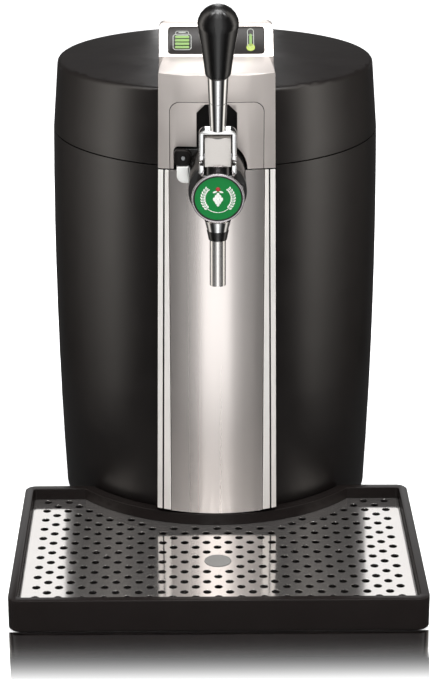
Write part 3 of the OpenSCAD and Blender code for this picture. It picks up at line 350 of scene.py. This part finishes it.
# ---- Base, feet and frame under the skin ----
# The base plate, the band's carrier and the chamber's collar are moulded in plain black
# ABS, greyer and duller than the skin. The feet and the lid's gasket are pressed into
# place. They are black rubber, which is matt and drinks the light.
abs_plain = finish("plain black ABS", "#242221", 0.5, grain=1.0, depth=0.02)
dress(abs_plain, "base_plate", "fascia_carrier", "chamber_collar", "fan_frame", "fan_rotor",
      "mains_inlet")
rubber = finish("black rubber", "#161616", 0.75, grain=0.5, depth=0.03)
dress(rubber, "feet", "lid_gasket")

# ---- Cooled chamber ----
# The keg stands in a white polystyrene cup in polyurethane foam. An aluminium plate, a
# Peltier element with ceramic faces, a finned heat sink and a fan draw the heat out.
# The cup has a soft sheen, and the foam is matt with open pores.
polystyrene = finish("white polystyrene, vacuum formed", "#dcdcda", 0.28, grain=2.0, depth=0.01,
                     spread=0.015)
dress(polystyrene, "chamber_liner", "lid_liner")
foam = finish("rigid polyurethane foam", "#d9cda0", 0.85, grain=1.2, depth=0.25, spread=0.12)
dress(foam, "insulation_jacket", "lid_foam")
# Extruded aluminium shows fine lines along the fins; fired ceramic is chalk white.
aluminium = finish("extruded aluminium", "#b4b8ba", 0.35, metallic=1.0, grain=0.5, depth=0.01,
                   stretch=(1, 1, 0.02))
dress(aluminium, "cold_plate", "heat_sink")
ceramic = finish("alumina ceramic", "#ecece8", 0.45, grain=0.4, depth=0.005)
dress(ceramic, "peltier_module")
# Zinc plate is a cold grey with cloudy patches. The boards have a clear green mask on them.
zinc = finish("zinc-plated steel", "#a2a4a6", 0.3, metallic=1.0, grain=1.5, depth=0.01, spread=0.12)
dress(zinc, "cover_screws", "fan_screws", "power_supply", "temperature_sensor", "hinge_pins",
      "tap_bracket", "latch_pin", "lever_pins")
solder_mask = finish("green solder mask", "#1d5b33", 0.25, grain=2.5, depth=0.03, spread=0.2)
dress(solder_mask, "control_board", "display_board")

# ---- Front band on the barrel ----
# A bowed panel of stainless steel, brushed and lacquered, between two pairs of bright
# strips. The panel is glued to its carrier, and the strips are clipped in beside it.
# The brushing runs up and down, and spreads each highlight out sideways.
steel = finish("brushed stainless steel panel", "#e7e0dc", 0.28, metallic=1.0, grain=0.35,
               depth=0.002, stretch=(1, 1, 0.012), spread=0.03, rough_spread=0.03, edge=0.25,
               Anisotropic=0.9, Anisotropic_Rotation=0.25)
brushing = add_node(steel.node_tree, "ShaderNodeTangent", direction_type="RADIAL", axis="Z")
steel.node_tree.links.new(brushing.outputs[0],
                          steel.node_tree.nodes["Principled BSDF"].inputs["Tangent"])
dress(steel, "fascia_panel")

# Seen from above, the band's face is an arc of radius BAND_BOW.
BAND_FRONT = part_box("fascia_panel")[0].y
BAND_BOW = 0.240
GROOVE_SHADE_DEPTH = 0.0003


def band_depth(point):
    """How far a point lies behind the band's bowed face."""
    return point.y - (BAND_FRONT + BAND_BOW - math.sqrt(BAND_BOW ** 2 - point.x ** 2))


def shaded(piece, material, chosen):
    """Gives a second material to the faces whose middle is chosen. Here that is black rubber, as
    painted shade in grooves and gaps.
    """
    piece.data.materials.append(material)
    for face in piece.data.polygons:
        if chosen(face.center):
            face.material_index = 1


# The strips' faces are bright. Their rounded faces that lie deeper behind the band's face get black
# rubber, which is painted shade in the grooves between them.
bright = finish("bright anodised aluminium strip", "#f6f2ee", 0.22, metallic=0.25, grain=2.0,
                depth=0.002, spread=0.02, rough_spread=0.03)
rails = rounded("fascia_rails", "bright_strips", 1.3, bright, steps=5)
shaded(rails, rubber, lambda middle: band_depth(middle) > GROOVE_SHADE_DEPTH)
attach(rails, "housing")

# ---- Lid front, console and tap surround ----
# Moulded ABS with a satin silver lacquer: metal flakes under a clear coat, so it is
# pale where it faces the light and greyer on its upright face.
silver = finish("satin silver lacquer", "#cfc7c2", 0.31, metallic=0.5, grain=0.3, depth=0.004,
                spread=0.03, rough_spread=0.04, Coat_Weight=0.25, Coat_Roughness=0.2)

# Black rubber paints shade into each gap of the lacquered front: in the recess that takes the panel
# round the tap, and on the underside at the lid's seam.
surround_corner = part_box("tap_surround")[1]
RECESS_MARGIN = 0.0017
RECESS_HALF = surround_corner.x + RECESS_MARGIN
RECESS_TOP = surround_corner.z + RECESS_MARGIN
RECESS_BACK = -0.055
RECESS_SHADE_DEPTH = 0.0003
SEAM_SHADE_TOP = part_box("lid_fascia")[0].z + 0.0008


def in_painted_front_shade(middle):
    """Whether a face of the lid's front lies in the recess or at the seam, where shade is painted.
    """
    recess = (abs(middle.x) < RECESS_HALF and middle.z < RECESS_TOP
              and middle.y < RECESS_BACK and band_depth(middle) > RECESS_SHADE_DEPTH)
    return recess or middle.z < SEAM_SHADE_TOP


front = rounded("lid_fascia", "lid_front_and_console", 1.5, silver, steps=4)
# The chosen faces get black rubber as painted shade.
shaded(front, rubber, in_painted_front_shade)
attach(front, "lid")

# On the panel round the tap, black rubber paints a shade line on its rounded edge. On the outside
# this line starts nearer the front face than it does in the notch.
OUTLINE_SHADE_DEPTH = 0.00007
OUTLINE_TOP = surround_corner.z - 0.0006
NOTCH_HALF = 0.0185
NOTCH_SHADE_DEPTH = 0.0009


def in_painted_surround_shade(middle):
    """Whether a face of the panel round the tap lies on its edge, where shade is painted."""
    outside = abs(middle.x) > NOTCH_HALF or middle.z > OUTLINE_TOP
    return band_depth(middle) > (OUTLINE_SHADE_DEPTH if outside else NOTCH_SHADE_DEPTH)


surround = rounded("tap_surround", "tap_surround_panel", 0.9, silver, steps=4)
# The chosen faces get black rubber as a painted shade line round the panel.
shaded(surround, rubber, in_painted_surround_shade)
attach(surround, "lid")

# ---- Display ----
# A smoked acrylic window lies flush in the console, with two lit symbols on it: a keg
# with four level bars, and a thermometer. It is dark, and softly glossy.
smoked = finish("smoked acrylic window", "#211d1b", 0.3, grain=4.0, depth=0.002, spread=0.04,
                rough_spread=0.02, IOR=1.3)
window = rounded("display_window", "display_glass", 0.35, smoked, steps=2)
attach(window, "lid")

# The symbols are laid out flat in mm, x to the right and y up the slope from its foot.
CONSOLE_FOOT = (0, -0.033, 0.402)
CONSOLE_SLOPE = math.radians(45)
DISPLAY_PLACE = Matrix.Translation(CONSOLE_FOOT) @ Matrix.Rotation(CONSOLE_SLOPE, 4, "X")
DISPLAY_MIDDLE = 12.4
DISPLAY_FACE = -0.1
SYMBOL_PROUD = 0.25


def deselected(operator, **options):
    """Adds a primitive with nothing else selected, and returns it."""
    bpy.ops.object.select_all(action="DESELECT")
    operator(**options)
    return bpy.context.object


def shaped(piece, *steps):
    """Runs edit operators on the whole of a piece, and leaves it in object mode."""
    bpy.ops.object.select_all(action="DESELECT")
    piece.select_set(True)
    bpy.context.view_layer.objects.active = piece
    bpy.ops.object.mode_set(mode="EDIT")
    bpy.ops.mesh.select_all(action="SELECT")
    for operator, options in steps:
        operator(**options)
    bpy.ops.object.mode_set(mode="OBJECT")
    return piece


PRINT_SMOOTH_ANGLE = math.radians(40)


def joined(name, pieces, place, material, body, stands_for=()):
    """Joins pieces into one, puts it in place in its mesh, and dresses it."""
    bpy.ops.object.select_all(action="DESELECT")
    for piece in pieces:
        piece.select_set(True)
    bpy.context.view_layer.objects.active = pieces[0]
    bpy.ops.object.transform_apply(location=True, rotation=True, scale=True)
    if len(pieces) > 1:
        bpy.ops.object.join()
    whole = bpy.context.object
    whole.name = name
    whole.data.transform(place)
    whole.data.update()
    whole.data.materials.clear()
    whole.data.materials.append(material)
    bpy.ops.object.shade_smooth_by_angle(angle=PRINT_SMOOTH_ANGLE)
    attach(whole, body)
    if stands_for:
        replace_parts(whole, *stands_for)
    return whole


def plate(x, y, width, height, corner, rim=0.0):
    """A flat raised plate on the display, in mm; with a rim, only a frame that wide."""
    piece = deselected(bpy.ops.mesh.primitive_plane_add, size=1)
    steps = [
        (bpy.ops.transform.resize, {"value": (width / 1000, height / 1000, 1),
                                    "center_override": (0, 0, 0)}),
        (bpy.ops.mesh.bevel, {"offset": corner / 1000, "segments": 6, "affect": "VERTICES"})]
    if rim:
        steps += [(bpy.ops.mesh.inset, {"thickness": rim / 1000}),
                  (bpy.ops.mesh.delete, {"type": "FACE"}),
                  (bpy.ops.mesh.select_all, {"action": "SELECT"})]
    steps += [(bpy.ops.mesh.extrude_region_move,
               {"TRANSFORM_OT_translate": {"value": (0, 0, SYMBOL_PROUD / 1000)}}),
              (bpy.ops.mesh.select_all, {"action": "SELECT"}),
              (bpy.ops.mesh.normals_make_consistent, {"inside": False})]
    shaped(piece, *steps)
    piece.location = (x / 1000, (DISPLAY_MIDDLE + y) / 1000, DISPLAY_FACE / 1000)
    return piece


# Screen print in translucent ink: the outlines are pale and matt, the lit parts lime.
symbol_grey = finish("pale grey symbol outline", "#a4a7a1", 0.4, grain=1.0, depth=0.004)
lime = finish("lit lime symbol", "#5f8a1e", 0.4, grain=1.0, depth=0.006, spread=0.15)
yellow = finish("lit yellow-green bulb", "#93a80e", 0.4, grain=1.0, depth=0.006,
                spread=0.1)

# The keg's outline has a body, a neck and a slit in the neck. Its bars stand in the body.
KEG_X = -26.5
BAR_COUNT = 4
BAR_PITCH = 3.1
LOWEST_BAR_Y = -6.3
keg_frames = [plate(KEG_X, -1.6, 14.6, 14.6, corner=2.6, rim=0.55),
              plate(KEG_X, 6.3, 10.6, 4.4, corner=1.8, rim=0.5),
              plate(KEG_X, 7.1, 5.6, 0.9, corner=0.4)]
joined("keg_outline", keg_frames, DISPLAY_PLACE, symbol_grey, "lid")
level_bars = [plate(KEG_X, LOWEST_BAR_Y + bar * BAR_PITCH, 11.0, 2.3, corner=0.8)
              for bar in range(BAR_COUNT)]
joined("keg_level_bars", level_bars, DISPLAY_PLACE, lime, "lid", ("keg_icon",))

# The thermometer has a glass with one mark across it, a column and a round bulb.
THERMOMETER_X = 26.8
glass_and_mark = [plate(THERMOMETER_X, 1.9, 5.2, 17.0, corner=2.5, rim=0.5),
                  plate(THERMOMETER_X, 4.6, 5.2, 0.45, corner=0.2)]
joined("thermometer_outline", glass_and_mark, DISPLAY_PLACE, symbol_grey, "lid")
column = plate(THERMOMETER_X, 0.2, 2.2, 11.0, corner=1.0)
joined("thermometer_column", [column], DISPLAY_PLACE, lime, "lid")
bulb = plate(THERMOMETER_X, -6.6, 6.6, 6.6, corner=3.25)
joined("thermometer_bulb", [bulb], DISPLAY_PLACE, yellow, "lid",
       ("thermometer_icon",))

# ---- Tap ----
# A zinc casting, plated: the valve block in satin nickel, the cradle under it and the
# cone that carries the spout in bright chrome. The round housing behind is gloss black
# ABS, screwed to a bracket in the front of the barrel.
chrome = finish("bright chrome plate", "#dadada", 0.07, metallic=1.0, grain=6.0, depth=0.004,
                spread=0.015, rough_spread=0.03)
satin_nickel = finish("satin nickel plate", "#b8b4b0", 0.18, metallic=0.97, grain=1.0, depth=0.003,
                      spread=0.03, rough_spread=0.04)
block = rounded("tap_barrel", "valve_block", 2.4, satin_nickel, steps=6)
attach(block, "housing")
cradle = rounded("tap_cradle", "valve_cradle", 0.8, chrome)
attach(cradle, "housing")
dress(chrome, "spout_cone")
gloss_black = finish("gloss black ABS", "#171615", 0.14, grain=3.0, depth=0.004, spread=0.04,
                     rough_spread=0.03, IOR=1.53)
housing = rounded("tap_housing", "tap_housing_shell", 1.0, gloss_black)
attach(housing, "housing")
dress(gloss_black, "spout_seal_ring", "tap_boss_ring")
dress(zinc, "tap_screws")

# Inside it are a plunger turned in acetal, which is waxy white, a spring of bright wire
# and a clear tube. The spout is a satin silver tube pressed into the seal ring.
acetal = finish("white acetal", "#e8e8e5", 0.35, grain=1.0, depth=0.008)
dress(acetal, "valve_plunger")
spring_wire = finish("spring steel wire", "#9ea2a5", 0.2, metallic=1.0, grain=0.5, depth=0.005)
dress(spring_wire, "valve_spring")
tube_plastic = finish("clear beer tube", "#cfd4d6", 0.2, grain=3.0, depth=0.01)
dress(tube_plastic, "beer_tube")
spout_silver = finish("satin silver spout", "#dedbd8", 0.15, metallic=0.85, grain=0.8, depth=0.004,
                      spread=0.02)
dress(spout_silver, "spout_tube")

# ---- Badge ----
# A turned ring of satin aluminium with a green printed disc sunk in it under clear resin.
# Two ears of barley round a hop cone stand on the disc in white relief.
ring_metal = finish("satin aluminium ring", "#b4afb1", 0.26, metallic=0.9, grain=0.4, depth=0.004)
ring = rounded("badge_ring", "badge_frame", 0.7, ring_metal)
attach(ring, "housing")
enamel = finish("green printed disc under resin", "#007a36", 0.3, grain=1.5, depth=0.003,
                spread=0.05, IOR=1.25)
dress(enamel, "badge_disc")

# The badge is laid out flat in mm round its middle, and then leans back with the tap.
BADGE_MIDDLE = (0, -0.150, 0.3208)
BADGE_LEAN = math.radians(97.6)
BADGE_PLACE = Matrix.Translation(BADGE_MIDDLE) @ Matrix.Rotation(BADGE_LEAN, 4, "X")
BADGE_FACE = 1.4
RELIEF_STEP = 0.35


def relief(x, y, turn, length, width, height=2.2):
    """A flat grain of that length and width in mm, turned in radians on the disc.

    Its height is counted in steps of RELIEF_STEP.
    """
    grain = deselected(bpy.ops.mesh.primitive_uv_sphere_add, segments=12, ring_count=8, radius=0.5)
    shaped(grain, (bpy.ops.transform.resize,
                   {"value": (width / 1000, length / 1000, RELIEF_STEP * height / 1000),
                    "center_override": (0, 0, 0)}))
    grain.location = (x / 1000, y / 1000, BADGE_FACE / 1000)
    grain.rotation_euler = (0, 0, turn)
    return grain


# Each ear curves up one side of the disc: a stalk, and then pairs of grains beside it.
EAR_CURVE = 11.2
EAR_FROM = -84
EAR_SWEEP = 128
EAR_STEPS = 13
STALK_STEPS = 4
STALK_SIZE = (2.4, 0.6)
GRAIN_SIZE = (2.4, 1.2)
GRAIN_ASIDE = 1.2
GRAIN_SPLAY = 0.5
ears = []
for side in (-1, 1):
    for step in range(EAR_STEPS):
        angle = math.radians(EAR_FROM + EAR_SWEEP * step / (EAR_STEPS - 1))
        across = side * math.cos(angle)
        along = math.sin(angle)
        ears.append(relief(EAR_CURVE * across, EAR_CURVE * along, side * angle, *STALK_SIZE))
        if step < STALK_STEPS:
            continue
        for half in (-1, 1):
            reach = EAR_CURVE + half * GRAIN_ASIDE
            turn = side * (angle - half * GRAIN_SPLAY)
            ears.append(relief(reach * across, reach * along, turn, *GRAIN_SIZE))
white_enamel = finish("white enamel relief", "#eef0ea", 0.35, grain=0.8, depth=0.004)
joined("barley_ears", ears, BADGE_PLACE, white_enamel, "housing")

# A black seal runs round the disc, between it and the ring.
SEAL_RADIUS = 17.75
SEAL_THICKNESS = 0.5
seal = deselected(bpy.ops.mesh.primitive_torus_add, major_radius=SEAL_RADIUS / 1000,
                  minor_radius=SEAL_THICKNESS / 1000, major_segments=96, minor_segments=8)
seal.location = (0, 0, BADGE_FACE / 1000)
joined("badge_seal", [seal], BADGE_PLACE, rubber, "housing")

# The hop cone hangs between the ears under two leaves and a red bead. Its rows, each with
# its height on the disc and its number of scales, overlap and get thinner upwards.
HOP_ROWS = ((-4.6, 1), (-2.7, 2), (-0.7, 3), (1.3, 2), (3.1, 1))
SCALE_PITCH = 2.5
SCALE_SIZE = (3.6, 2.4)
SCALE_HEIGHT = 2.6
SCALE_THINNING = 0.12
SCALE_TURN = 0.1
LEAF_PLACE = (2.3, 5.4)
LEAF_TURN = 1.25
LEAF_SIZE = (3.4, 1.5)
scales = []
for y, count in HOP_ROWS:
    for place in range(count):
        x = (place - (count - 1) / 2) * SCALE_PITCH
        thickness = SCALE_HEIGHT - y * SCALE_THINNING
        scales.append(relief(x, y, -x * SCALE_TURN, *SCALE_SIZE, thickness))
for side in (-1, 1):
    scales.append(relief(side * LEAF_PLACE[0], LEAF_PLACE[1], side * LEAF_TURN, *LEAF_SIZE))
joined("badge_hop", scales, BADGE_PLACE, white_enamel, "housing")
BEAD_Y = 7.6
BEAD_SIZE = (3.4, 3.4, 3.0)
red_enamel = finish("red enamel", "#b3202a", 0.25, grain=0.8, depth=0.003)
joined("badge_bead", [relief(0, BEAD_Y, 0, *BEAD_SIZE)], BADGE_PLACE, red_enamel, "housing")

# ---- Lever ----
# A chrome yoke holds the valve block between two pins, and a tapered chrome stem carries
# the knob, which is turned from solid phenolic and polished to a black gloss.
yoke = rounded("lever_yoke", "lever_fork", 0.8, chrome)
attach(yoke, "lever")
dress(chrome, "lever_stem")
phenolic = finish("polished black phenolic", "#0c0b0b", 0.22, grain=5.0, depth=0.003, spread=0.05,
                  rough_spread=0.02)
knob = rounded("lever_knob", "knob_turning", 0.4, phenolic)
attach(knob, "lever")

# ---- Side lock and tube clip ----
# A small latch of black nylon, moulded with a soft gloss, turns on a pin beside the tap,
# over the white acetal clip of the beer tube.
lock_black = finish("moulded black nylon", "#12100f", 0.3, grain=0.8, depth=0.006, IOR=1.25)
latch = rounded("latch_arm", "side_lock", 0.7, lock_black)
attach(latch, "latch")
clip = rounded("tube_clip", "tube_clip_tab", 0.7, acetal)
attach(clip, "housing")

# ---- Drip tray and grate ----
# The tray is moulded in gloss black ABS with a broad rounded rim. The grate is a polished
# stainless plate with punched holes, bright as a mirror, and a matt disc of grey rubber is
# glued on where the glass stands.
tray_abs = finish("gloss black ABS tray", "#1d1918", 0.24, grain=1.2, depth=0.002, spread=0.05,
                  IOR=1.36, Specular_IOR_Level=0.25)
tray = rounded("drip_tray", "drip_tray_shell", 1.3, tray_abs, steps=4)
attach(tray, "tray")
polished = finish("polished stainless plate", "#efebe8", 0.09, metallic=0.94, grain=8.0,
                  depth=0.004, spread=0.02, rough_spread=0.04, edge=0.3)
dress(polished, "drip_grate")
grey_rubber = finish("grey rubber disc", "#7f7e7c", 0.6, grain=0.6, depth=0.02)
dress(grey_rubber, "target_disc")
